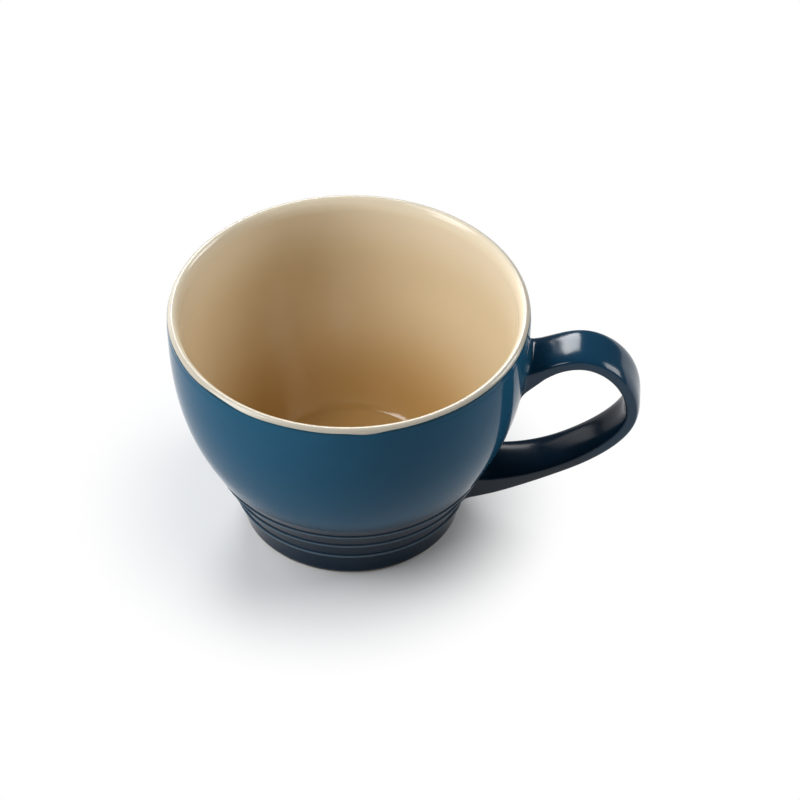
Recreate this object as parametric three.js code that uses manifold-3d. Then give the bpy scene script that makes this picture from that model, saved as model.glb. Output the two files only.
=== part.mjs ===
// A round stoneware mug: a deep bowl on a flared foot with turned ridges, and a strap handle.
// The body and the handle are shaped apart, luted together with slip, and then glazed twice:
// a sand liner glaze inside and over the lip, and a blue glaze over the outside and the handle.
// Millimetres, +Z up. The mug stands on z = 0 and its handle points along +X.
import * as THREE from 'three';
import { mergeVertices } from 'three/addons/utils/BufferGeometryUtils.js';
import Module from 'manifold-3d';

const wasm = await Module();
wasm.setup();

// Body: heights are measured up from the table, and drops down from the top of the clay lip
const bodyHeight = 77.5;
const rimRadius = 53.6;
const lipThickness = 2.6;
const lipCrestInset = 1;
const lipInnerDrop = 2.1;
const shoulderDrop = 5;
const shoulderPull = 27;
const waistHeight = 28.4;
const waistRadius = 44;
const waistAngle = THREE.MathUtils.degToRad(66);
const waistPull = 8;
const wallThickness = 4.4;
const basinRise = 5.6;
const basinPull = 14;
const floorHeight = 10.5;
const floorRadius = 25;
const floorPull = 6;

// Foot: a flared side with evenly spaced ridges, the top one set down from the waist,
// a flat bare ring and a shallow recess inside it
const footRadius = 33;
const footLean = 2.6;
const footChamfer = 0.4;
const bareBandHeight = 0.4;
const footRingWidth = 6;
const recessDepth = 3.5;
const recessDraft = 1;
const plainBandHeight = 8;
const topRidgeDrop = 5;
const ridgePitch = 6.75;
const ridgeWidth = 1.8;
const ridgeCrestWidth = 0.6;
const ridgeHeight = 0.5;

// Handle: a flat strap with rounded edges that leaves the wall, rises to a crown and returns to the foot,
// where its lower root is set down from the waist as the ridges are
const strapWidth = 14.2;
const strapThickness = 3.7;
const strapSquareness = 4;
const upperRootDrop = 18.7;
const upperRootAngle = THREE.MathUtils.degToRad(30.6);
const upperRootPull = 6.9;
const crownReach = 16.2;
const crownDrop = 11.5;
const crownPull = 5.7;
const gripReach = 31.8;
const gripDrop = 29.8;
const outerBendPull = 7.6;
const gripPull = 10.4;
const returnPull = 14.6;
const lowerRootBelowWaist = 13.2;
const lowerRootAngle = THREE.MathUtils.degToRad(3.3);
const lowerRootPull = 18.2;
const upperFlareLength = 13.3;
const upperFlareWidth = 2.2;
const upperFlareThickness = 2.5;
const lowerFlareLength = 30.3;
const lowerFlareWidth = 3.8;
const lowerFlareThickness = 4.6;

// Coats and joints
const glazeThickness = 0.4;
const bondGap = 0.1;
const slipThickness = 0.8;
const seatGap = 0.3;

// Fineness of the facets
const turnSegments = 36;
const bowlSteps = 8;
const insideSteps = 6;
const basinSteps = 7;
const lipSteps = 3;
const strapSides = 16;
const strapSteps = [5, 8, 12];
const rootRings = 5;
const heightTolerance = 1e-6;
const weldDistance = 1e-5;

const coat = bondGap + glazeThickness;
const glazeLineHeight = bodyHeight - lipCrestInset;
const shoulderHeight = bodyHeight - shoulderDrop;
const basinHeight = waistHeight + basinRise;
const footGlazeHeight = footChamfer + bareBandHeight;
const lowerRootHeight = waistHeight - lowerRootBelowWaist;
const recessRadius = footRadius - footRingWidth;

const point = (r, z) => new THREE.Vector2(r, z);

// The foot's side without its ridges: a quadratic curve whose height runs evenly from table to waist
function footSideRadius(z) {
  const t = z / waistHeight;
  const middle = footRadius + footLean;
  return footRadius * (1 - t) ** 2 + 2 * middle * t * (1 - t) + waistRadius * t ** 2;
}

const bowlCurve = new THREE.CubicBezierCurve(
  point(waistRadius, waistHeight),
  point(waistRadius + waistPull * Math.cos(waistAngle), waistHeight + waistPull * Math.sin(waistAngle)),
  point(rimRadius, shoulderHeight - shoulderPull),
  point(rimRadius, shoulderHeight),
);

// The point of the bowl's outside at a height, found by halving
function bowlAt(z) {
  let low = 0;
  let high = 1;
  while (high - low > heightTolerance) {
    const middle = (low + high) / 2;
    if (bowlCurve.getPoint(middle).y < z) low = middle;
    else high = middle;
  }
  return { radius: bowlCurve.getPoint(low).x, tangent: bowlCurve.getTangent(low) };
}

function sideRadius(z) {
  return z < waistHeight ? footSideRadius(z) : bowlAt(z).radius;
}

function ridgePoints(z) {
  const half = ridgeWidth / 2;
  const crest = ridgeCrestWidth / 2;
  return [
    point(footSideRadius(z - half), z - half),
    point(footSideRadius(z - crest) + ridgeHeight, z - crest),
    point(footSideRadius(z + crest) + ridgeHeight, z + crest),
    point(footSideRadius(z + half), z + half),
  ];
}

// The clay's outline, in four stretches that run from under the foot, up the outside and down inside
const underside = [
  point(0, recessDepth),
  point(recessRadius - recessDraft, recessDepth),
  point(recessRadius, 0),
  point(footRadius - footChamfer, 0),
  point(footSideRadius(footChamfer), footChamfer),
];

// As many ridges as fit between the plain band at the bottom and the waist, from the lowest up
const topRidgeHeight = waistHeight - topRidgeDrop;
const ridgeCount = 1 + Math.floor((topRidgeHeight - plainBandHeight) / ridgePitch);
const ridgeHeights = Array.from({ length: ridgeCount }, (_, i) => (
  topRidgeHeight - (ridgeCount - 1 - i) * ridgePitch
));
const outside = [
  point(footSideRadius(footGlazeHeight), footGlazeHeight),
  ...ridgeHeights.flatMap(ridgePoints),
  ...bowlCurve.getPoints(bowlSteps),
  point(rimRadius, glazeLineHeight - bondGap),
];

// The lip: a quarter circle up to its crest, which lies near the outside, and a longer quarter oval inside
const lip = Array.from({ length: 2 * lipSteps + 1 }, (_, i) => {
  const turn = (Math.PI / 2) * (i / lipSteps);
  const reach = i < lipSteps ? lipCrestInset : lipThickness - lipCrestInset;
  const drop = i < lipSteps ? lipCrestInset : lipInnerDrop;
  return point(rimRadius - lipCrestInset + reach * Math.cos(turn), bodyHeight - drop * (1 - Math.sin(turn)));
});

// Inside, the wall follows the bowl at a thickness that narrows to the lip's
function insideRadius(z) {
  const share = (z - basinHeight) / (shoulderHeight - basinHeight);
  return bowlAt(z).radius - THREE.MathUtils.lerp(wallThickness, lipThickness, share);
}
const insideWall = Array.from({ length: insideSteps }, (_, i) => {
  const z = THREE.MathUtils.lerp(shoulderHeight, basinHeight, i / insideSteps);
  return point(insideRadius(z), z);
});
const basinTop = point(insideRadius(basinHeight), basinHeight);
const basinCurve = new THREE.CubicBezierCurve(
  basinTop,
  basinTop.clone().addScaledVector(bowlAt(basinHeight).tangent, -basinPull),
  point(floorRadius + floorPull, floorHeight),
  point(floorRadius, floorHeight),
);
const inside = [...insideWall, ...basinCurve.getPoints(basinSteps), point(0, floorHeight)];

// An outline moved sideways out of the clay, with its corners mitred
function offsetOutline(outline, distance) {
  const normals = outline.slice(1).map((p, i) => {
    const along = p.clone().sub(outline[i]).normalize();
    return point(along.y, -along.x);
  });
  return outline.map((p, i) => {
    const before = normals[Math.max(i - 1, 0)];
    const after = normals[Math.min(i, normals.length - 1)];
    const mitre = before.clone().add(after);
    return p.clone().addScaledVector(mitre, (2 * distance) / mitre.lengthSq());
  });
}

function turned(outline) {
  return new THREE.LatheGeometry(outline, turnSegments).rotateX(Math.PI / 2);
}

// A full round body bounded by an outline of its side
function turnedCore(side) {
  const bottom = side[0];
  const top = side[side.length - 1];
  return turned([point(0, bottom.y), ...side, point(0, top.y)]);
}

function toSolid(geometry) {
  const bare = geometry.clone();
  bare.deleteAttribute('normal');
  bare.deleteAttribute('uv');
  const merged = mergeVertices(bare, weldDistance);
  const corners = merged.index.array;
  const triangles = [];
  for (let i = 0; i < corners.length; i += 3) {
    const [a, b, c] = corners.slice(i, i + 3);
    if (a !== b && b !== c && c !== a) triangles.push(a, b, c);
  }
  return new wasm.Manifold(new wasm.Mesh({
    numProp: 3,
    vertProperties: new Float32Array(merged.attributes.position.array),
    triVerts: new Uint32Array(triangles),
  }));
}

// A full round solid bounded by the body's side, grown by a distance
function grownCore(side, growth) {
  return toSolid(turnedCore(offsetOutline(side, growth)));
}

function toGeometry(solid) {
  const mesh = solid.getMesh();
  const geometry = new THREE.BufferGeometry();
  geometry.setAttribute('position', new THREE.BufferAttribute(mesh.vertProperties, 3));
  geometry.setIndex(new THREE.BufferAttribute(mesh.triVerts, 1));
  geometry.computeVertexNormals();
  return geometry;
}

// Stations along the strap's middle line, in the XZ plane, with the way it runs and its flare
function strapStations() {
  const at = (x, z) => new THREE.Vector3(x, 0, z);
  const upperHeight = bodyHeight - upperRootDrop;
  const upper = at(sideRadius(upperHeight), upperHeight);
  const upperWay = at(Math.cos(upperRootAngle), Math.sin(upperRootAngle));
  const crown = at(rimRadius + crownReach, bodyHeight - crownDrop);
  const grip = at(rimRadius + gripReach, bodyHeight - gripDrop);
  const lower = at(sideRadius(lowerRootHeight), lowerRootHeight);
  const lowerWay = at(Math.cos(lowerRootAngle), Math.sin(lowerRootAngle));
  const outward = at(1, 0);
  const upward = at(0, 1);
  const moved = (from, way, distance) => from.clone().addScaledVector(way, distance);
  const curves = [
    new THREE.CubicBezierCurve3(
      upper, moved(upper, upperWay, upperRootPull), moved(crown, outward, -crownPull), crown),
    new THREE.CubicBezierCurve3(
      crown, moved(crown, outward, outerBendPull), moved(grip, upward, gripPull), grip),
    new THREE.CubicBezierCurve3(
      grip, moved(grip, upward, -returnPull), moved(lower, lowerWay, lowerRootPull), lower),
  ];
  const stations = [{ place: moved(upper, upperWay, -wallThickness), way: upperWay }];
  curves.forEach((curve, i) => {
    for (let step = i ? 1 : 0; step <= strapSteps[i]; step += 1) {
      const t = step / strapSteps[i];
      stations.push({ place: curve.getPoint(t), way: curve.getTangent(t) });
    }
  });
  stations.push({ place: moved(lower, lowerWay, -wallThickness), way: lowerWay.clone().negate() });

  let run = -wallThickness;
  stations.forEach((station, i) => {
    if (i) run += station.place.distanceTo(stations[i - 1].place);
    station.run = run;
  });
  const length = run - wallThickness;
  const flare = (distance, reach) => THREE.MathUtils.clamp(1 - distance / reach, 0, 1) ** 2;
  stations.forEach((station) => {
    const upperFlare = flare(station.run, upperFlareLength);
    const lowerFlare = flare(length - station.run, lowerFlareLength);
    station.width = strapWidth + upperFlareWidth * upperFlare + lowerFlareWidth * lowerFlare;
    station.thickness = strapThickness
      + upperFlareThickness * upperFlare + lowerFlareThickness * lowerFlare;
  });
  return stations;
}

// The strap's solid, grown all round by a coat: rings of a squarish oval, with flat ends
function strapGeometry(stations, growth) {
  const positions = [];
  const squared = (value) => Math.sign(value) * Math.abs(value) ** (2 / strapSquareness);
  for (const { place, way, width, thickness } of stations) {
    for (let side = 0; side < strapSides; side += 1) {
      const turn = (2 * Math.PI * side) / strapSides;
      const across = (width / 2 + growth) * squared(Math.cos(turn));
      const through = (thickness / 2 + growth) * squared(Math.sin(turn));
      positions.push(place.x - way.z * through, across, place.z + way.x * through);
    }
  }
  const ends = [stations[0], stations[stations.length - 1]];
  ends.forEach(({ place }) => positions.push(place.x, 0, place.z));
  const triangles = [];
  const corner = (ring, side) => ring * strapSides + (side % strapSides);
  const lastRing = stations.length - 1;
  const firstMiddle = stations.length * strapSides;
  for (let side = 0; side < strapSides; side += 1) {
    for (let ring = 0; ring < lastRing; ring += 1) {
      const [a, b] = [corner(ring, side), corner(ring, side + 1)];
      const [c, d] = [corner(ring + 1, side + 1), corner(ring + 1, side)];
      triangles.push(a, b, c, a, c, d);
    }
    triangles.push(firstMiddle, corner(0, side + 1), corner(0, side));
    triangles.push(firstMiddle + 1, corner(lastRing, side), corner(lastRing, side + 1));
  }
  const geometry = new THREE.BufferGeometry();
  geometry.setAttribute('position', new THREE.Float32BufferAttribute(positions, 3));
  geometry.setIndex(triangles);
  return geometry;
}

// The body's side carried past both ends of the blue coat, to cut it and the handle cleanly
const footEdge = underside[underside.length - 1];
const cuttingSide = [footEdge, ...outside, point(rimRadius, bodyHeight)];
const stations = strapStations();
const strap = toSolid(strapGeometry(stations, 0));

function bodyGeometry() {
  return turned([...underside, ...outside, ...lip, ...inside]);
}

function handleGeometry() {
  return toGeometry(strap.subtract(grownCore(cuttingSide, bondGap + slipThickness + seatGap)));
}

// The bed of slip under a root: what the root covers of a thin layer on the body's side
function slipGeometry(rootStations) {
  const root = toSolid(strapGeometry(rootStations, 0));
  const covered = root.intersect(grownCore(cuttingSide, bondGap + slipThickness));
  return toGeometry(covered.subtract(grownCore(cuttingSide, bondGap)));
}

function innerGlazeGeometry() {
  const covered = [...lip, ...inside];
  const claySide = offsetOutline(covered, bondGap).reverse();
  return turned([...claySide, ...offsetOutline(covered, coat)]);
}

// The blue coat is one layer over the bowl and the handle, hollow where the clay lies
function outerGlazeGeometry() {
  const grownStrap = toSolid(strapGeometry(stations, coat));
  const hollowStrap = toSolid(strapGeometry(stations, bondGap));
  const skin = grownCore(outside, coat).add(grownStrap);
  const clay = grownCore(cuttingSide, bondGap).add(hollowStrap);
  return toGeometry(skin.subtract(clay));
}

function baseGlazeGeometry() {
  const edge = recessRadius - recessDraft - seatGap;
  const [low, high] = [recessDepth - coat, recessDepth - bondGap];
  return turned([point(0, low), point(edge, low), point(edge, high), point(0, high)]);
}

const bareStoneware = new THREE.MeshStandardMaterial({ color: 0xc9b596, roughness: 0.85, metalness: 0 });
const sandGlaze = new THREE.MeshStandardMaterial({ color: 0xd8c19a, roughness: 0.15, metalness: 0 });
const blueGlaze = new THREE.MeshStandardMaterial({ color: 0x2b5674, roughness: 0.12, metalness: 0 });

const pieces = [
  ['clay_body', bodyGeometry(), bareStoneware],
  ['handle', handleGeometry(), bareStoneware],
  ['upper_slip_joint', slipGeometry(stations.slice(0, rootRings)), bareStoneware],
  ['lower_slip_joint', slipGeometry(stations.slice(-rootRings)), bareStoneware],
  ['inner_glaze', innerGlazeGeometry(), sandGlaze],
  ['outer_glaze', outerGlazeGeometry(), blueGlaze],
  ['base_glaze', baseGlazeGeometry(), sandGlaze],
];

const mug = new THREE.Group();
for (const [name, geometry, material] of pieces) {
  const mesh = new THREE.Mesh(geometry, material);
  mesh.name = name;
  mug.add(mesh);
}

// The middle of the mug's length, from the bowl's back to the outside of the grip, is at x = 0
const overhang = gripReach + strapThickness / 2;
mug.position.x = -overhang / 2;

export default mug;
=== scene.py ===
# A round stoneware mug on a flared, ridged foot, with a strap handle: a sand liner glaze inside
# and over the lip, and one coat of blue glaze over the outside and the handle.
import math
from bisect import bisect_right

import bmesh
import bpy
from mathutils import Matrix, Vector, noise
from mathutils.geometry import interpolate_bezier


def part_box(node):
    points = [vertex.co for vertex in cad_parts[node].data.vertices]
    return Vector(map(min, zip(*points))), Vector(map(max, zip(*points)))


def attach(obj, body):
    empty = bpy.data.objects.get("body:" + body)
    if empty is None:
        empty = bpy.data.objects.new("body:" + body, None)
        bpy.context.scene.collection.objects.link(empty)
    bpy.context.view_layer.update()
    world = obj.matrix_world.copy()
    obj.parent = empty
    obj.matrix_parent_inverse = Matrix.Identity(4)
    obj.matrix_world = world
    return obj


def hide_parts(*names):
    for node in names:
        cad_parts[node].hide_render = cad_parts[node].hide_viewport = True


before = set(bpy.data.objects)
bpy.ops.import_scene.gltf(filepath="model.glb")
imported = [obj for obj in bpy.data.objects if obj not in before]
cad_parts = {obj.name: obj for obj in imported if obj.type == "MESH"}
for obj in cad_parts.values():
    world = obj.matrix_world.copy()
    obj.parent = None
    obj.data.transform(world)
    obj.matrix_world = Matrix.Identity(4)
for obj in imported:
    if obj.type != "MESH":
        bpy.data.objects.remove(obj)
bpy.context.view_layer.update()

MM = 0.001

# The bowl's upright axis, from the clay body's box. Sizes below are millimetres about that axis.
CLAY_LOW, CLAY_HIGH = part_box("clay_body")
AXIS = Vector(((CLAY_LOW.x + CLAY_HIGH.x) / 2, 0, 0))
BODY_HEIGHT = CLAY_HIGH.z / MM
RIM_RADIUS = (CLAY_HIGH.x - CLAY_LOW.x) / 2 / MM

# Bowl
LIP_THICKNESS = 2.6
LIP_CREST_INSET = 1
LIP_INNER_DROP = 4.6
SHOULDER_DROP = 5
SHOULDER_PULL = 27
WAIST_HEIGHT = 28.4
WAIST_RADIUS = 44
WAIST_ANGLE = math.radians(66)
WAIST_PULL = 8
WALL_THICKNESS = 4.4
BASIN_RISE = 5.6
BASIN_PULL = 14
FLOOR_HEIGHT = 10.5
FLOOR_RADIUS = 28
FLOOR_PULL = 3
FLOOR_CREASE = math.radians(16)

# Foot
FOOT_RADIUS = 33
FOOT_LEAN = 2.6
FOOT_CHAMFER = 0.4
BARE_BAND = 0.4
FOOT_RING_WIDTH = 6
RECESS_DEPTH = 3.5
RECESS_DRAFT = 1
RIDGE_COUNT = 3
RIDGE_PITCH = 6.75
RIDGE_WIDTH = 1.8
RIDGE_HEIGHT = 0.5
TOP_RIDGE_DROP = 5

# Strap handle
STRAP_WIDTH = 14.2
STRAP_THICKNESS = 3.7
STRAP_CROWNING = 0.9
STRAP_CROWNING_POWER = 4
STRAP_EDGE = 0.6
UPPER_ROOT_DROP = 18.7
UPPER_ROOT_ANGLE = math.radians(30.6)
UPPER_ROOT_PULL = 6.9
CROWN_REACH = 16.2
CROWN_DROP = 11.5
CROWN_PULL = 5.7
GRIP_REACH = 31.8
GRIP_DROP = 29.8
OUTER_BEND_PULL = 7.6
GRIP_PULL = 10.4
RETURN_PULL = 14.6
LOWER_ROOT_BELOW_WAIST = 13.2
LOWER_ROOT_ANGLE = math.radians(3.3)
LOWER_ROOT_PULL = 18.2
UPPER_FLARE = {"length": 13.3, "width": 2.2, "thickness": 2.5}
LOWER_FLARE = {"length": 30.3, "width": 3.8, "thickness": 4.6}
ROOT_FILLET = 2.2
ROOT_CLEARANCE = 5.5

# Glaze coats, measured out from the clay. Along the lip, a turn of 0 is where its round leaves the
# outside wall, a quarter turn is its crest, and a turn below 0 lies on the wall.
BOND_GAP = 0.1
COAT = 0.5
SKIN = 0.3
TUCK = 0.4
FEATHER = 0.03
BLUE_TOP_TURN = 0.9
TUCK_TURNS = (-1.2, -0.8)
LINER_EDGE_TURN = 0.45
LIP_FADE_TURNS = (1.3, 1.9)
LINER_WAVE = 0.3
LINER_WAVE_LENGTH = 16
LINER_RUN_DEPTH = 0.4
LINER_RUN_MIDDLE = math.radians(-79)
LINER_RUN_REACH = math.radians(8)
PATCH_CLEARANCE = 3 * BOND_GAP

# How the blue coat thins on the ridges' crests, where its paler colour is also a painted highlight, and
# how far the painted shade on the strap's inner side reaches round it
CREST_POWER = 4
INNER_SIDE_REACH = 0.5

# Fineness of the meshes
TURN_STEPS = 192
BAND_STEPS = 10
BOWL_STEPS = 48
INSIDE_STEPS = 40
BASIN_STEPS = 32
LIP_STEPS = 24
EDGE_STEPS = 6
FACE_STEPS = 11
STRAP_SIDES = 4 * (1 + EDGE_STEPS + FACE_STEPS)
STRAP_STEPS = (18, 26, 40)
FILLET_STEPS = 8
HOLE_MARGIN = 0.8
WELD = 0.001
SLOPE_STEP = 0.2
HALVINGS = 40
SHARP_ANGLE = math.radians(40)

LIP_CREST_RADIUS = RIM_RADIUS - LIP_CREST_INSET
GLAZE_LINE = BODY_HEIGHT - LIP_CREST_INSET
SHOULDER_HEIGHT = BODY_HEIGHT - SHOULDER_DROP
FOOT_GLAZE_HEIGHT = FOOT_CHAMFER + BARE_BAND
RECESS_RADIUS = FOOT_RADIUS - FOOT_RING_WIDTH
BASIN_HEIGHT = WAIST_HEIGHT + BASIN_RISE
TOP_RIDGE = WAIST_HEIGHT - TOP_RIDGE_DROP
RIDGES = [TOP_RIDGE - i * RIDGE_PITCH for i in reversed(range(RIDGE_COUNT))]


# Outlines of the turned pieces: points in the XZ plane, from the foot up
def at(radius, height):
    return Vector((radius, 0, height))


def mix(a, b, share):
    return a + (b - a) * share


def ease(low, high, value):
    t = min(max((value - low) / (high - low), 0), 1)
    return t * t * (3 - 2 * t)


def curve(start, start_pull, end_pull, end, steps):
    return interpolate_bezier(start, start_pull, end_pull, end, steps + 1)


def ridge_rise(height):
    offsets = [abs(height - ridge) / RIDGE_WIDTH for ridge in RIDGES]
    return sum(RIDGE_HEIGHT * math.cos(math.pi * o) ** 2 for o in offsets if o < 0.5)


def foot_side(height):
    t = height / WAIST_HEIGHT
    lean = 2 * (FOOT_RADIUS + FOOT_LEAN) * t * (1 - t)
    return FOOT_RADIUS * (1 - t) ** 2 + lean + WAIST_RADIUS * t ** 2


def foot_heights():
    stops = [FOOT_GLAZE_HEIGHT]
    for ridge in RIDGES:
        stops += [ridge - RIDGE_WIDTH / 2, ridge + RIDGE_WIDTH / 2]
    bands = zip(stops, [*stops[1:], WAIST_HEIGHT])
    return [mix(low, high, i / BAND_STEPS) for low, high in bands for i in range(BAND_STEPS)]


def clay_side():
    foot = [at(foot_side(z) + ridge_rise(z), z) for z in foot_heights()]
    waist = at(WAIST_RADIUS, WAIST_HEIGHT)
    shoulder = at(RIM_RADIUS, SHOULDER_HEIGHT)
    waist_way = at(math.cos(WAIST_ANGLE), math.sin(WAIST_ANGLE))
    pulls = (waist + waist_way * WAIST_PULL, shoulder - at(0, SHOULDER_PULL))
    bowl = curve(waist, *pulls, shoulder, BOWL_STEPS)
    return foot + bowl + [at(RIM_RADIUS, GLAZE_LINE)]


def radius_at(outline, height):
    heights = [p.z for p in outline]
    i = min(max(bisect_right(heights, height), 1), len(outline) - 1)
    low, high = outline[i - 1], outline[i]
    return mix(low.x, high.x, (height - low.z) / (high.z - low.z))


def lip_point(turn, coat):
    if turn < 0:
        return at(RIM_RADIUS + coat, GLAZE_LINE + turn * (LIP_CREST_INSET + COAT))
    outside = turn < math.pi / 2
    reach = LIP_CREST_INSET if outside else LIP_THICKNESS - LIP_CREST_INSET
    drop = LIP_CREST_INSET if outside else LIP_INNER_DROP
    place = at(LIP_CREST_RADIUS + reach * math.cos(turn), BODY_HEIGHT - drop * (1 - math.sin(turn)))
    return place + at(math.cos(turn) / reach, math.sin(turn) / drop).normalized() * coat


def lip_turns(start, end):
    return [mix(start, end, i / LIP_STEPS) for i in range(LIP_STEPS + 1)]


def clay_inside():
    side = clay_side()

    def inside_at(height):
        share = (height - BASIN_HEIGHT) / (SHOULDER_HEIGHT - BASIN_HEIGHT)
        return at(radius_at(side, height) - mix(WALL_THICKNESS, LIP_THICKNESS, share), height)

    heights = [mix(SHOULDER_HEIGHT, BASIN_HEIGHT, i / INSIDE_STEPS) for i in range(INSIDE_STEPS)]
    wall = [inside_at(z) for z in heights]
    basin = inside_at(BASIN_HEIGHT)
    basin_way = (wall[-1] - basin).normalized()
    floor_edge = at(FLOOR_RADIUS, FLOOR_HEIGHT)
    floor_way = at(math.cos(FLOOR_CREASE), math.sin(FLOOR_CREASE))
    pulls = (basin - basin_way * BASIN_PULL, floor_edge + floor_way * FLOOR_PULL)
    bottom = curve(basin, *pulls, floor_edge, BASIN_STEPS)
    return wall + bottom + [at(0, FLOOR_HEIGHT)]


def grown(outline, distance):
    ways = [(b - a).normalized() for a, b in zip(outline, outline[1:])]
    normals = [at(way.z, -way.x) for way in ways]
    moved = []
    for i, p in enumerate(outline):
        mitre = normals[max(i - 1, 0)] + normals[min(i, len(normals) - 1)]
        moved.append(p + mitre * (2 * distance / mitre.length_squared))
    moved[-1].x = max(moved[-1].x, 0) if outline[-1].x else 0
    return moved


# Mesh helpers
def turned(bm, outline, layers=None):
    verts = [bm.verts.new(p) for p in outline]
    for layer, values in (layers or {}).items():
        for v, value in zip(verts, values):
            v[layer] = value
    edges = [bm.edges.new(pair) for pair in zip(verts, verts[1:])]
    full_turn = {"axis": (0, 0, 1), "angle": 2 * math.pi, "steps": TURN_STEPS, "use_merge": True}
    bmesh.ops.spin(bm, geom=verts + edges, cent=(0, 0, 0), **full_turn)
    bmesh.ops.remove_doubles(bm, verts=bm.verts[:], dist=WELD)
    bmesh.ops.recalc_face_normals(bm, faces=bm.faces[:])


def finished(bm, name, material, slot, *nodes, normals=None):
    bmesh.ops.transform(bm, matrix=Matrix.Translation(AXIS) @ Matrix.Scale(MM, 4), verts=bm.verts[:])
    mesh = bpy.data.meshes.new(name)
    bm.to_mesh(mesh)
    bm.free()
    mesh.shade_smooth()
    mesh.set_sharp_from_angle(angle=SHARP_ANGLE)
    if normals:
        mesh.normals_split_custom_set_from_vertices(normals)
    mesh.materials.append(material)
    piece = bpy.data.objects.new(name, mesh)
    bpy.context.scene.collection.objects.link(piece)
    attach(piece, "root")
    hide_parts(*nodes)


# Strap handle: stations along its middle line, with its section at each
def strap_stations(side):
    upper_height = BODY_HEIGHT - UPPER_ROOT_DROP
    upper = at(radius_at(side, upper_height), upper_height)
    upper_way = at(math.cos(UPPER_ROOT_ANGLE), math.sin(UPPER_ROOT_ANGLE))
    crown = at(RIM_RADIUS + CROWN_REACH, BODY_HEIGHT - CROWN_DROP)
    grip = at(RIM_RADIUS + GRIP_REACH, BODY_HEIGHT - GRIP_DROP)
    lower_height = WAIST_HEIGHT - LOWER_ROOT_BELOW_WAIST
    lower = at(foot_side(lower_height), lower_height)
    lower_way = at(math.cos(LOWER_ROOT_ANGLE), math.sin(LOWER_ROOT_ANGLE))
    first, second, third = STRAP_STEPS
    line = [upper - upper_way * WALL_THICKNESS]
    line += curve(upper, upper + upper_way * UPPER_ROOT_PULL, crown - at(CROWN_PULL, 0), crown, first)
    line += curve(crown, crown + at(OUTER_BEND_PULL, 0), grip + at(0, GRIP_PULL), grip, second)[1:]
    line += curve(grip, grip - at(0, RETURN_PULL), lower + lower_way * LOWER_ROOT_PULL, lower, third)[1:]
    line += [lower - lower_way * WALL_THICKNESS]

    runs = [-WALL_THICKNESS]
    for a, b in zip(line, line[1:]):
        runs.append(runs[-1] + (b - a).length)
    length = runs[-1] - WALL_THICKNESS
    stations = []
    for i, place in enumerate(line):
        way = (line[min(i + 1, len(line) - 1)] - line[max(i - 1, 0)]).normalized()
        width, thickness = STRAP_WIDTH, STRAP_THICKNESS
        for flare, distance in ((UPPER_FLARE, runs[i]), (LOWER_FLARE, length - runs[i])):
            share = max(1 - distance / flare["length"], 0) ** 2
            width += flare["width"] * share
            thickness += flare["thickness"] * share
        station = {"place": place, "way": way, "run": runs[i]}
        stations.append({**station, "width": width, "thickness": thickness})
    return stations, length


# A quarter of the strap's section: half its straight side, the rounded edge, half its crowned face
def quarter_section(half_width, half_thickness):
    def face(across):
        return half_thickness - STRAP_CROWNING * (across / half_width) ** STRAP_CROWNING_POWER

    side_height = face(half_width)
    edge_start = Vector((half_width, side_height - STRAP_EDGE))
    edge_end = Vector((half_width - STRAP_EDGE, face(half_width - STRAP_EDGE)))
    corner = Vector((half_width, side_height))
    edge = [edge_start * (1 - s) ** 2 + corner * 2 * s * (1 - s) + edge_end * s ** 2
            for s in (i / EDGE_STEPS for i in range(EDGE_STEPS + 1))]
    across = [edge_end.x * (1 - i / FACE_STEPS) for i in range(1, FACE_STEPS + 1)]
    return [Vector((half_width, 0))] + edge + [Vector((x, face(x))) for x in across]


def section(station):
    quarter = quarter_section(station["width"] / 2 + COAT, station["thickness"] / 2 + COAT)
    there, back = quarter[:-1], quarter[:0:-1]
    spots = [(p.x, p.y) for p in there] + [(-p.x, p.y) for p in back]
    spots += [(-p.x, -p.y) for p in there] + [(p.x, -p.y) for p in back]
    across_way = Vector((0, 1, 0))
    through_way = at(-station["way"].z, station["way"].x)
    return [station["place"] + across_way * across + through_way * through for across, through in spots]


# Where each line of the strap meets the wall, found by halving
def on_wall(outside_point, inside_point, side):
    near, far = 0, 1
    for _ in range(HALVINGS):
        middle = (near + far) / 2
        p = outside_point.lerp(inside_point, middle)
        if p.xy.length > radius_at(side, p.z):
            near = middle
        else:
            far = middle
    return outside_point.lerp(inside_point, near)


def snapped(p, side):
    flat = p.xy.normalized() * radius_at(side, p.z)
    return Vector((flat.x, flat.y, p.z))


def wall_normal(p, side):
    above = radius_at(side, p.z + SLOPE_STEP)
    below = radius_at(side, p.z - SLOPE_STEP)
    slope = (above - below) / (2 * SLOPE_STEP)
    flat = p.xy.normalized()
    return Vector((flat.x, flat.y, -slope)).normalized()


# The rings of a root, from the strap down to the wall, where they lie flat on it
def root_rings(ring, inner_ring, side):
    hits = [on_wall(p, q, side) for p, q in zip(ring, inner_ring)]
    rings = [[] for _ in range(FILLET_STEPS + 1)]
    for i, hit in enumerate(hits):
        normal = wall_normal(hit, side)
        along = hits[(i + 1) % len(hits)] - hits[i - 1]
        out = along.cross(normal).normalized()
        middle = sum(hits, Vector()) / len(hits)
        if out.dot(hit - middle) < 0:
            out.negate()
        start = hit + (ring[i] - inner_ring[i]).normalized() * ROOT_FILLET
        end = snapped(hit + out * ROOT_FILLET, side)
        for step, points in enumerate(rings):
            s = step / FILLET_STEPS
            points.append(start * (1 - s) ** 2 + hit * 2 * s * (1 - s) + end * s ** 2)
    return rings


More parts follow.
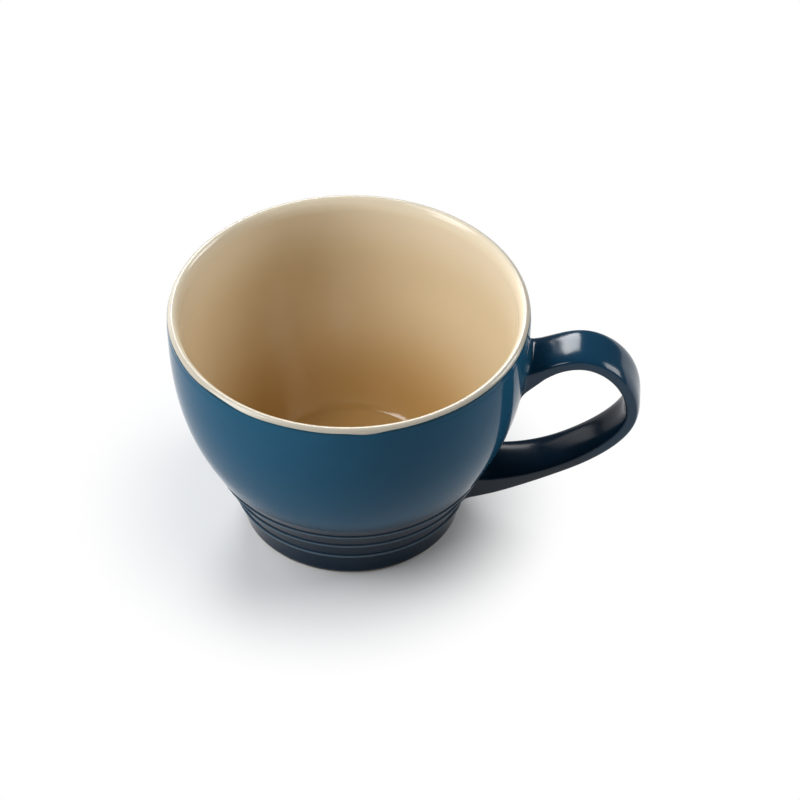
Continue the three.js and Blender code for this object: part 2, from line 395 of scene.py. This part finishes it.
def next_ring(bm, ring, edges, points):
    made = bmesh.ops.extrude_edge_only(bm, edges=edges)["geom"]
    new = {v for v in made if isinstance(v, bmesh.types.BMVert)}
    following = [next(e.other_vert(v) for e in v.link_edges if e.other_vert(v) in new) for v in ring]
    for v, p in zip(following, points):
        v.co = p
    return following, [e for e in made if isinstance(e, bmesh.types.BMEdge) and new.issuperset(e.verts)]


def boundary_of(bm, wanted):
    return [e for e in bm.edges if e.is_boundary and e.verts[0] in wanted and e.verts[1] in wanted]


# Opens the wall under a root and joins the wall's hole to the root's last ring
def joined_to_wall(bm, ring):
    middle = sum((v.co for v in ring), Vector()) / len(ring)
    out = Vector((middle.x, middle.y, 0)).normalized()
    sideways = Vector((0, 0, 1)).cross(out)
    polygon = [((v.co - middle).dot(sideways), v.co.z - middle.z) for v in ring]
    reach = max(math.hypot(*p) for p in polygon) + 2 * HOLE_MARGIN

    def covered(v):
        offset = v.co - middle
        x, z = offset.dot(sideways), offset.z
        if v.co.dot(out) < 0 or math.hypot(x, z) > reach:
            return False
        shrink = 1 - HOLE_MARGIN / max(math.hypot(x, z), HOLE_MARGIN)
        x, z = x * shrink, z * shrink
        inside = False
        for (x1, z1), (x2, z2) in zip(polygon, polygon[1:] + polygon[:1]):
            if (z1 > z) != (z2 > z) and x < mix(x1, x2, (z - z1) / (z2 - z1)):
                inside = not inside
        return inside

    strap = bm.verts.layers.float["strap"]
    under = {v for v in bm.verts if v[strap] == 0 and covered(v)}
    faces = {f for v in under for f in v.link_faces}
    rim = {v for f in faces for v in f.verts} - under
    bmesh.ops.delete(bm, geom=list(faces), context="FACES")
    edges = boundary_of(bm, rim) + boundary_of(bm, set(ring))
    bmesh.ops.bridge_loops(bm, edges=edges)


# Blue coat: one skin over the bowl and the strap, which runs up under the liner's edge
def blue_outline():
    def coat_at(turn):
        return mix(COAT, TUCK, ease(*TUCK_TURNS, turn))

    brim = [lip_point(turn, coat_at(turn)) for turn in lip_turns(TUCK_TURNS[0], BLUE_TOP_TURN)]
    return grown(clay_side(), COAT)[:-1] + brim


def make_blue_coat(material):
    wall_side = grown(clay_side(), COAT)
    bm = bmesh.new()
    strap = bm.verts.layers.float.new("strap")
    crest_thin_and_highlight = bm.verts.layers.float.new("crest_thin_and_highlight")
    shaded_inner_side = bm.verts.layers.float.new("shaded_inner_side")
    turned(bm, blue_outline())
    for v in bm.verts:
        # Ridge crests: thinner glaze, with a painted highlight
        v[crest_thin_and_highlight] = (ridge_rise(v.co.z) / RIDGE_HEIGHT) ** CREST_POWER

    stations, length = strap_stations(clay_side())
    clear = [s for s in stations if ROOT_CLEARANCE < s["run"] < length - ROOT_CLEARANCE]
    sections = [section(s) for s in clear]
    upper_root = root_rings(sections[0], section(stations[0]), wall_side)
    lower_root = root_rings(sections[-1], section(stations[-1]), wall_side)
    rings = [*reversed(upper_root), *sections, *lower_root]
    shares = [max(i / FILLET_STEPS, WELD) for i in range(FILLET_STEPS + 1)]
    strap_shares = [*shares, *[1] * len(sections), *reversed(shares)]

    ring = bmesh.ops.create_circle(bm, segments=STRAP_SIDES, radius=1)["verts"]
    edges = list({e for v in ring for e in v.link_edges})
    ends = [ring]
    for v, p in zip(ring, rings[0]):
        v.co = p
        v[strap] = shares[0]
    for points, share in zip(rings[1:], strap_shares[1:]):
        ring, edges = next_ring(bm, ring, edges, points)
        for i, v in enumerate(ring):
            v[strap] = share
            # The strap's inner side, which the glaze darkens as painted shade
            v[shaded_inner_side] = share * ease(0, INNER_SIDE_REACH, -math.sin(2 * math.pi * i / STRAP_SIDES))
    ends.append(ring)
    for end in ends:
        joined_to_wall(bm, end)
    bmesh.ops.recalc_face_normals(bm, faces=bm.faces[:])
    bmesh.ops.solidify(bm, geom=bm.faces[:], thickness=SKIN)

    def turned_normal(v):
        on_bowl = WAIST_HEIGHT < v.co.z < SHOULDER_HEIGHT and v[strap] <= WELD
        on_face = abs(v.co.xy.length - radius_at(wall_side, v.co.z)) < SKIN / 2
        return wall_normal(v.co, wall_side) if on_bowl and on_face else Vector()

    normals = [turned_normal(v) for v in bm.verts]
    finished(bm, "blue_coat", material, "blue_glaze", "outer_glaze", normals=normals)


# Sand liner: inside and over the lip, with an outer edge that wanders and has run a little in one place
def edge_shift(azimuth):
    around = Vector((math.cos(azimuth), math.sin(azimuth), 0)) * RIM_RADIUS / LINER_WAVE_LENGTH
    from_run = abs(azimuth - LINER_RUN_MIDDLE)
    run = 1 - ease(0, LINER_RUN_REACH, from_run)
    return LINER_WAVE * noise.noise(around) - LINER_RUN_DEPTH * run


def make_sand_liner(material):
    def outer_coat(turn):
        return mix(TUCK + FEATHER, COAT, ease(LINER_EDGE_TURN, math.pi / 2, turn))

    def inner_coat(turn):
        return mix(TUCK, BOND_GAP, ease(BLUE_TOP_TURN, math.pi / 2, turn))

    inside = clay_inside()
    turns = lip_turns(LINER_EDGE_TURN, math.pi)[:-1]
    edge = [(turn, inner_coat(turn)) for turn in reversed(turns)]
    edge += [(turn, outer_coat(turn)) for turn in turns]
    below = grown(inside, BOND_GAP)[::-1]
    outline = below + [lip_point(*spot) for spot in edge] + grown(inside, COAT)
    bm = bmesh.new()
    lip_turn = bm.verts.layers.float.new("lip_turn")
    lip_coat = bm.verts.layers.float.new("lip_coat")
    lip = bm.verts.layers.float.new("lip")
    spots = [(math.pi, 0)] * len(below) + edge + [(math.pi, 0)] * len(inside)
    lip_turn_values = [turn for turn, _ in spots]
    lip_coat_values = [coat for _, coat in spots]
    turned(bm, outline, {lip_turn: lip_turn_values, lip_coat: lip_coat_values})
    for v in bm.verts:
        v[lip] = 1 - ease(*LIP_FADE_TURNS, v[lip_turn])
        share = 1 - ease(LINER_EDGE_TURN, math.pi / 2, v[lip_turn])
        if share > 0:
            azimuth = math.atan2(v.co.y, v.co.x)
            p = lip_point(v[lip_turn] + edge_shift(azimuth) * share, v[lip_coat])
            v.co = Matrix.Rotation(azimuth, 3, "Z") @ p
    for layer in ("lip_turn", "lip_coat"):
        bm.verts.layers.float.remove(bm.verts.layers.float[layer])
    finished(bm, "sand_liner", material, "sand_glaze", "inner_glaze")


def make_stoneware_body(material):
    foot = [
        at(0, RECESS_DEPTH),
        at(RECESS_RADIUS - RECESS_DRAFT, RECESS_DEPTH),
        at(RECESS_RADIUS, 0),
        at(FOOT_RADIUS - FOOT_CHAMFER, 0),
        at(foot_side(FOOT_CHAMFER), FOOT_CHAMFER),
    ]
    lip = [lip_point(turn, 0) for turn in lip_turns(0, math.pi)]
    bm = bmesh.new()
    turned(bm, foot + clay_side()[:-1] + lip[:-1] + clay_inside())
    finished(bm, "stoneware_body", material, "bare_stoneware", "clay_body")


def make_base_patch(material):
    edge = RECESS_RADIUS - RECESS_DRAFT - PATCH_CLEARANCE
    low, high = RECESS_DEPTH - COAT, RECESS_DEPTH - BOND_GAP
    middle = (low + high) / 2
    bm = bmesh.new()
    outline = [at(0, low), at(edge - COAT, low), at(edge, middle), at(edge - BOND_GAP, high), at(0, high)]
    turned(bm, outline)
    finished(bm, "base_patch", material, "sand_glaze", "base_glaze")


# Materials: heights, pattern sizes and depths in millimetres. A pair of heights runs from no share of a
# tone to its full share.
CERAMIC_IOR = 1.5
# Heights over which the blue darkens towards the foot, partly its own tone and partly painted shade
BLUE_FOOT_HEIGHTS = (34, 25)
BLUE_BRIM_HEIGHTS = (76, 77.2)
BLUE_CLOUD_SIZE = 14
BLUE_RIPPLE_SIZE = 9
BLUE_RIPPLE_STRENGTH = 0.15
BOWL_GLOSS, STRAP_GLOSS = 0.06, 0.3
BOWL_ROUGHNESS, STRAP_ROUGHNESS = 0.08, 0.16
# Heights for the sand's painted shade low in the basin and its painted light near the rim
SAND_BASIN_SHADE_HEIGHTS = (50, 14)
SAND_RIM_LIGHT_HEIGHTS = (52, 78)
SAND_CLOUD_SIZE = 18
SAND_RIPPLE_SIZE = 12
SAND_RIPPLE_STRENGTH = 0.1
SAND_ROUGHNESS = 0.14
GRIT_SIZE = 0.8
GRIT_STRENGTH = 0.5
CLAY_ROUGHNESS = 0.85
BUMP_DEPTH = 0.1
FLOOR_ROUGHNESS = 0.6
FADE_START, FADE_END = 37, 80
FADE_MIDDLE = AXIS - Vector((10 * MM, 0, 0))


# The sRGB curve, undone
def linear(hex_colour):
    channels = [int(hex_colour[i:i + 2], 16) / 255 for i in (1, 3, 5)]
    return [c / 12.92 if c <= 0.04045 else ((c + 0.055) / 1.055) ** 2.4 for c in channels] + [1]


def add(tree, kind, links=(), **settings):
    node = tree.nodes.new(kind)
    inputs = settings.pop("inputs", {})
    for name, value in settings.items():
        setattr(node, name, value)
    for name, value in inputs.items():
        node.inputs[name].default_value = value
    for name, source in dict(links).items():
        tree.links.new(source, node.inputs[name])
    return node


def new_material(name):
    material = bpy.data.materials.new(name)
    material.use_nodes = True
    tree = material.node_tree
    tree.nodes.clear()
    return material, tree


def surface(tree, links, inputs):
    shader = add(tree, "ShaderNodeBsdfPrincipled", links, inputs=inputs)
    add(tree, "ShaderNodeOutputMaterial", {"Surface": shader.outputs["BSDF"]})


# A glossy blue glaze: deep and even, darker on the strap where it lies thick, paler where it thins on the
# ridges' crests, which also carry a painted highlight. It darkens towards the foot and on the lower
# handle limb, partly in its own tone and partly as painted shade under the bowl, and the strap's inner
# side is darkened as painted shade.
def blue_glaze():
    material, tree = new_material("blue_glaze")
    place = add(tree, "ShaderNodeTexCoord").outputs["Object"]
    height = add(tree, "ShaderNodeSeparateXYZ", {"Vector": place}).outputs["Z"]
    foot = add(tree, "ShaderNodeMapRange", {"Value": height}, interpolation_type="SMOOTHSTEP",
               inputs={"From Min": BLUE_FOOT_HEIGHTS[0] * MM, "From Max": BLUE_FOOT_HEIGHTS[1] * MM})
    brim = add(tree, "ShaderNodeMapRange", {"Value": height}, interpolation_type="SMOOTHSTEP",
               inputs={"From Min": BLUE_BRIM_HEIGHTS[0] * MM, "From Max": BLUE_BRIM_HEIGHTS[1] * MM})
    strap = add(tree, "ShaderNodeAttribute", attribute_name="strap")
    crest_thin_and_highlight = add(tree, "ShaderNodeAttribute", attribute_name="crest_thin_and_highlight")
    shaded_inner_side = add(tree, "ShaderNodeAttribute", attribute_name="shaded_inner_side")
    clouds = add(tree, "ShaderNodeTexNoise", {"Vector": place},
                 inputs={"Scale": 1 / (BLUE_CLOUD_SIZE * MM), "Detail": 3})
    tone = add(tree, "ShaderNodeMix", {"Factor": clouds.outputs["Fac"]}, data_type="RGBA",
               inputs={"A": linear("#1f526e"), "B": linear("#245876")})
    for factor, colour in (
        (strap.outputs["Fac"], "#153c55"),
        # Painted shade on the strap's inner side, facing the bowl
        (shaded_inner_side.outputs["Fac"], "#0c1f2e"),
        # Darker towards the foot and on the lower handle limb: partly the glaze's own tone, partly
        # painted shade under the bowl
        (foot.outputs["Result"], "#142738"),
        (brim.outputs["Result"], "#12414f"),
        # Paler ridge crests: thinner glaze and a painted highlight
        (crest_thin_and_highlight.outputs["Fac"], "#687f8e"),
    ):
        links = {"Factor": factor, "A": tone.outputs["Result"]}
        tone = add(tree, "ShaderNodeMix", links, data_type="RGBA", inputs={"B": linear(colour)})
    ripple = add(tree, "ShaderNodeTexNoise", {"Vector": place},
                 inputs={"Scale": 1 / (BLUE_RIPPLE_SIZE * MM), "Detail": 1})
    bump = add(tree, "ShaderNodeBump", {"Height": ripple.outputs["Fac"]},
               inputs={"Strength": BLUE_RIPPLE_STRENGTH, "Distance": BUMP_DEPTH * MM})
    outer = add(tree, "ShaderNodeMath", {0: strap.outputs["Fac"], 1: shaded_inner_side.outputs["Fac"]},
                operation="SUBTRACT")
    gloss = add(tree, "ShaderNodeMapRange", {"Value": outer.outputs["Value"]},
                inputs={"To Min": BOWL_GLOSS, "To Max": STRAP_GLOSS})
    polish = add(tree, "ShaderNodeMapRange", {"Value": strap.outputs["Fac"]},
                 inputs={"To Min": BOWL_ROUGHNESS, "To Max": STRAP_ROUGHNESS})
    surface(tree, {"Base Color": tone.outputs["Result"], "Normal": bump.outputs["Normal"],
                   "Specular IOR Level": gloss.outputs["Result"], "Roughness": polish.outputs["Result"]},
            {"IOR": CERAMIC_IOR})
    return material


# An opaque sand liner glaze: warm and glossy, and greyer over the lip. It is browner low in the basin,
# which is painted shade, and paler near the rim, which is painted light.
def sand_glaze():
    material, tree = new_material("sand_glaze")
    place = add(tree, "ShaderNodeTexCoord").outputs["Object"]
    height = add(tree, "ShaderNodeSeparateXYZ", {"Vector": place}).outputs["Z"]
    basin = add(tree, "ShaderNodeMapRange", {"Value": height}, interpolation_type="SMOOTHSTEP",
                inputs={"From Min": SAND_BASIN_SHADE_HEIGHTS[0] * MM, "From Max": SAND_BASIN_SHADE_HEIGHTS[1] * MM})
    rim = add(tree, "ShaderNodeMapRange", {"Value": height}, interpolation_type="SMOOTHSTEP",
              inputs={"From Min": SAND_RIM_LIGHT_HEIGHTS[0] * MM, "From Max": SAND_RIM_LIGHT_HEIGHTS[1] * MM})
    lip = add(tree, "ShaderNodeAttribute", attribute_name="lip")
    clouds = add(tree, "ShaderNodeTexNoise", {"Vector": place},
                 inputs={"Scale": 1 / (SAND_CLOUD_SIZE * MM), "Detail": 4})
    tone = add(tree, "ShaderNodeMix", {"Factor": clouds.outputs["Fac"]}, data_type="RGBA",
               inputs={"A": linear("#dcc9a5"), "B": linear("#e0cdab")})
    for factor, colour in (
        # Painted shade: browner low in the basin
        (basin.outputs["Result"], "#bd9861"),
        # Painted light: paler near the rim
        (rim.outputs["Result"], "#e5d9c1"),
        (lip.outputs["Fac"], "#c3bcad"),
    ):
        links = {"Factor": factor, "A": tone.outputs["Result"]}
        tone = add(tree, "ShaderNodeMix", links, data_type="RGBA", inputs={"B": linear(colour)})
    ripple = add(tree, "ShaderNodeTexNoise", {"Vector": place},
                 inputs={"Scale": 1 / (SAND_RIPPLE_SIZE * MM), "Detail": 1})
    bump = add(tree, "ShaderNodeBump", {"Height": ripple.outputs["Fac"]},
               inputs={"Strength": SAND_RIPPLE_STRENGTH, "Distance": BUMP_DEPTH * MM})
    surface(tree, {"Base Color": tone.outputs["Result"], "Normal": bump.outputs["Normal"]},
            {"Roughness": SAND_ROUGHNESS, "IOR": CERAMIC_IOR})
    return material


# Fired stoneware clay left bare: buff, matt and a little mottled. Its grit is drawn coarser than it is,
# so that it shows.
def bare_clay(name, light, dark):
    material, tree = new_material(name)
    place = add(tree, "ShaderNodeTexCoord").outputs["Object"]
    grit = add(tree, "ShaderNodeTexNoise", {"Vector": place},
               inputs={"Scale": 1 / (GRIT_SIZE * MM), "Detail": 4})
    tone = add(tree, "ShaderNodeMix", {"Factor": grit.outputs["Fac"]}, data_type="RGBA",
               inputs={"A": linear(dark), "B": linear(light)})
    bump = add(tree, "ShaderNodeBump", {"Height": grit.outputs["Fac"]},
               inputs={"Strength": GRIT_STRENGTH, "Distance": BUMP_DEPTH * MM})
    surface(tree, {"Base Color": tone.outputs["Result"], "Normal": bump.outputs["Normal"]},
            {"Roughness": CLAY_ROUGHNESS, "IOR": CERAMIC_IOR})
    return material


# A matt white studio floor that fades into a white background away from the mug. What the eye and
# the reflections see is white; the light that it throws back on the mug is that of a pale grey one.
def pale_floor():
    material, tree = new_material("pale_floor")
    rays = add(tree, "ShaderNodeLightPath").outputs
    seen = add(tree, "ShaderNodeMath", {0: rays["Is Camera Ray"], 1: rays["Is Glossy Ray"]},
               operation="ADD")
    seen = add(tree, "ShaderNodeMath", {0: seen.outputs["Value"], 1: rays["Is Transmission Ray"]},
               operation="ADD", use_clamp=True)
    grey = add(tree, "ShaderNodeBsdfDiffuse", inputs={"Color": linear("#b4b6b8")})
    white = add(tree, "ShaderNodeBsdfPrincipled",
                inputs={"Base Color": linear("#dcdee0"), "Roughness": FLOOR_ROUGHNESS})
    near = add(tree, "ShaderNodeMixShader", {"Fac": seen.outputs["Value"], 1: grey.outputs["BSDF"],
                                             2: white.outputs["BSDF"]})
    place = add(tree, "ShaderNodeTexCoord").outputs["Object"]
    offset = add(tree, "ShaderNodeVectorMath", {0: place}, operation="SUBTRACT", inputs={1: FADE_MIDDLE})
    distance = add(tree, "ShaderNodeVectorMath", {0: offset.outputs["Vector"]}, operation="LENGTH")
    fade = add(tree, "ShaderNodeMapRange", {"Value": distance.outputs["Value"]},
               interpolation_type="SMOOTHSTEP",
               inputs={"From Min": FADE_START * MM, "From Max": FADE_END * MM})
    share = add(tree, "ShaderNodeMath", {0: fade.outputs["Result"], 1: seen.outputs["Value"]},
                operation="MULTIPLY")
    far = add(tree, "ShaderNodeEmission", inputs={"Color": linear("#ffffff"), "Strength": 1})
    mixed = add(tree, "ShaderNodeMixShader", {"Fac": share.outputs["Value"], 1: near.outputs["Shader"],
                                              2: far.outputs["Emission"]})
    add(tree, "ShaderNodeOutputMaterial", {"Surface": mixed.outputs["Shader"]})
    return material


# Camera: fitted to the photograph's rim, foot and handle, in a square frame. Pixels count from its upper
# left corner, and lengths are millimetres.
FRAME_PIXELS = 800
FOCAL_PIXELS = 3300
SENSOR = 36
CAMERA_TILT = math.radians(42.4)
CAMERA_TURN = math.radians(4.5)
CAMERA_DISTANCE = 978.5
RIM_PIXEL = (348.9, 307.7)
RIM_HEIGHT = 77.9


def make_camera():
    data = bpy.data.cameras.new("camera")
    data.sensor_width = SENSOR
    data.lens = FOCAL_PIXELS / FRAME_PIXELS * SENSOR
    camera = bpy.data.objects.new("camera", data)
    bpy.context.scene.collection.objects.link(camera)
    ahead = Vector((0, math.cos(CAMERA_TILT), -math.sin(CAMERA_TILT)))
    right = Vector((1, 0, 0))
    up = right.cross(ahead)
    across = (RIM_PIXEL[0] - FRAME_PIXELS / 2) / FOCAL_PIXELS * CAMERA_DISTANCE
    rise = (FRAME_PIXELS / 2 - RIM_PIXEL[1]) / FOCAL_PIXELS * CAMERA_DISTANCE
    place = Vector((0, 0, RIM_HEIGHT)) - ahead * CAMERA_DISTANCE - right * across - up * rise
    facing = Matrix((right, up, -ahead)).transposed().to_4x4()
    round_mug = Matrix.Translation(AXIS) @ Matrix.Rotation(CAMERA_TURN, 4, "Z")
    camera.matrix_world = round_mug @ Matrix.Translation(place * MM) @ facing
    bpy.context.scene.camera = camera


# Studio: a wide pale floor, and softboxes round the mug, with lengths in metres. Each softbox has its
# azimuth from the camera, elevation, width and height, in degrees, and its brightness.
STUDIO_FLOOR_SIZE = 4
WORLD_STRENGTH = 0.06
SOFTBOX_DISTANCE = 1.2
SOFTBOXES = {
    "key_left": (-76, 47, 24, 38, 8),
    "low_left": (-65, 15, 26, 22, 6),
    "rim_left": (-140, 20, 24, 28, 3),
    "back": (190, 34, 20, 20, 13),
    "right": (105, 26, 22, 26, 8),
    "front": (20, 12, 60, 14, 1.2),
}


def softbox(name, azimuth, elevation, width, height, brightness):
    data = bpy.data.lights.new(name, "AREA")
    data.shape = "RECTANGLE"
    data.size = 2 * SOFTBOX_DISTANCE * math.tan(math.radians(width) / 2)
    data.size_y = 2 * SOFTBOX_DISTANCE * math.tan(math.radians(height) / 2)
    data.energy = brightness * math.pi * data.size * data.size_y
    lamp = bpy.data.objects.new(name, data)
    bpy.context.scene.collection.objects.link(lamp)
    a = math.radians(azimuth) + CAMERA_TURN
    e = math.radians(elevation)
    away = Vector((math.sin(a) * math.cos(e), -math.cos(a) * math.cos(e), math.sin(e)))
    lamp.location = AXIS + Vector((0, 0, BODY_HEIGHT / 2 * MM)) + away * SOFTBOX_DISTANCE
    lamp.rotation_mode = "QUATERNION"
    lamp.rotation_quaternion = away.to_track_quat("Z", "Y")


def make_studio():
    bm = bmesh.new()
    bmesh.ops.create_grid(bm, x_segments=1, y_segments=1, size=STUDIO_FLOOR_SIZE)
    mesh = bpy.data.meshes.new("floor")
    bm.to_mesh(mesh)
    bm.free()
    mesh.materials.append(pale_floor())
    floor = bpy.data.objects.new("floor", mesh)
    bpy.context.scene.collection.objects.link(floor)
    for name, settings in SOFTBOXES.items():
        softbox(name, *settings)
    world = bpy.data.worlds.new("studio")
    world.use_nodes = True
    tree = world.node_tree
    tree.nodes.clear()
    sky = add(tree, "ShaderNodeBackground",
              inputs={"Color": linear("#ffffff"), "Strength": WORLD_STRENGTH})
    add(tree, "ShaderNodeOutputWorld", {"Surface": sky.outputs["Background"]})
    bpy.context.scene.world = world


make_camera()
blue = blue_glaze()
sand = sand_glaze()
stoneware = bare_clay("bare_stoneware", "#cdb998", "#b7a07c")
slip = bare_clay("luting_slip", "#c2ae8d", "#ab9674")
make_stoneware_body(stoneware)
make_sand_liner(sand)
make_blue_coat(blue)
make_base_patch(sand)
for node, finish in (("handle", stoneware), ("upper_slip_joint", slip), ("lower_slip_joint", slip)):
    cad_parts[node].data.materials.clear()
    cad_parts[node].data.materials.append(finish)
make_studio()

bpy.context.scene.view_settings.view_transform = "Standard"
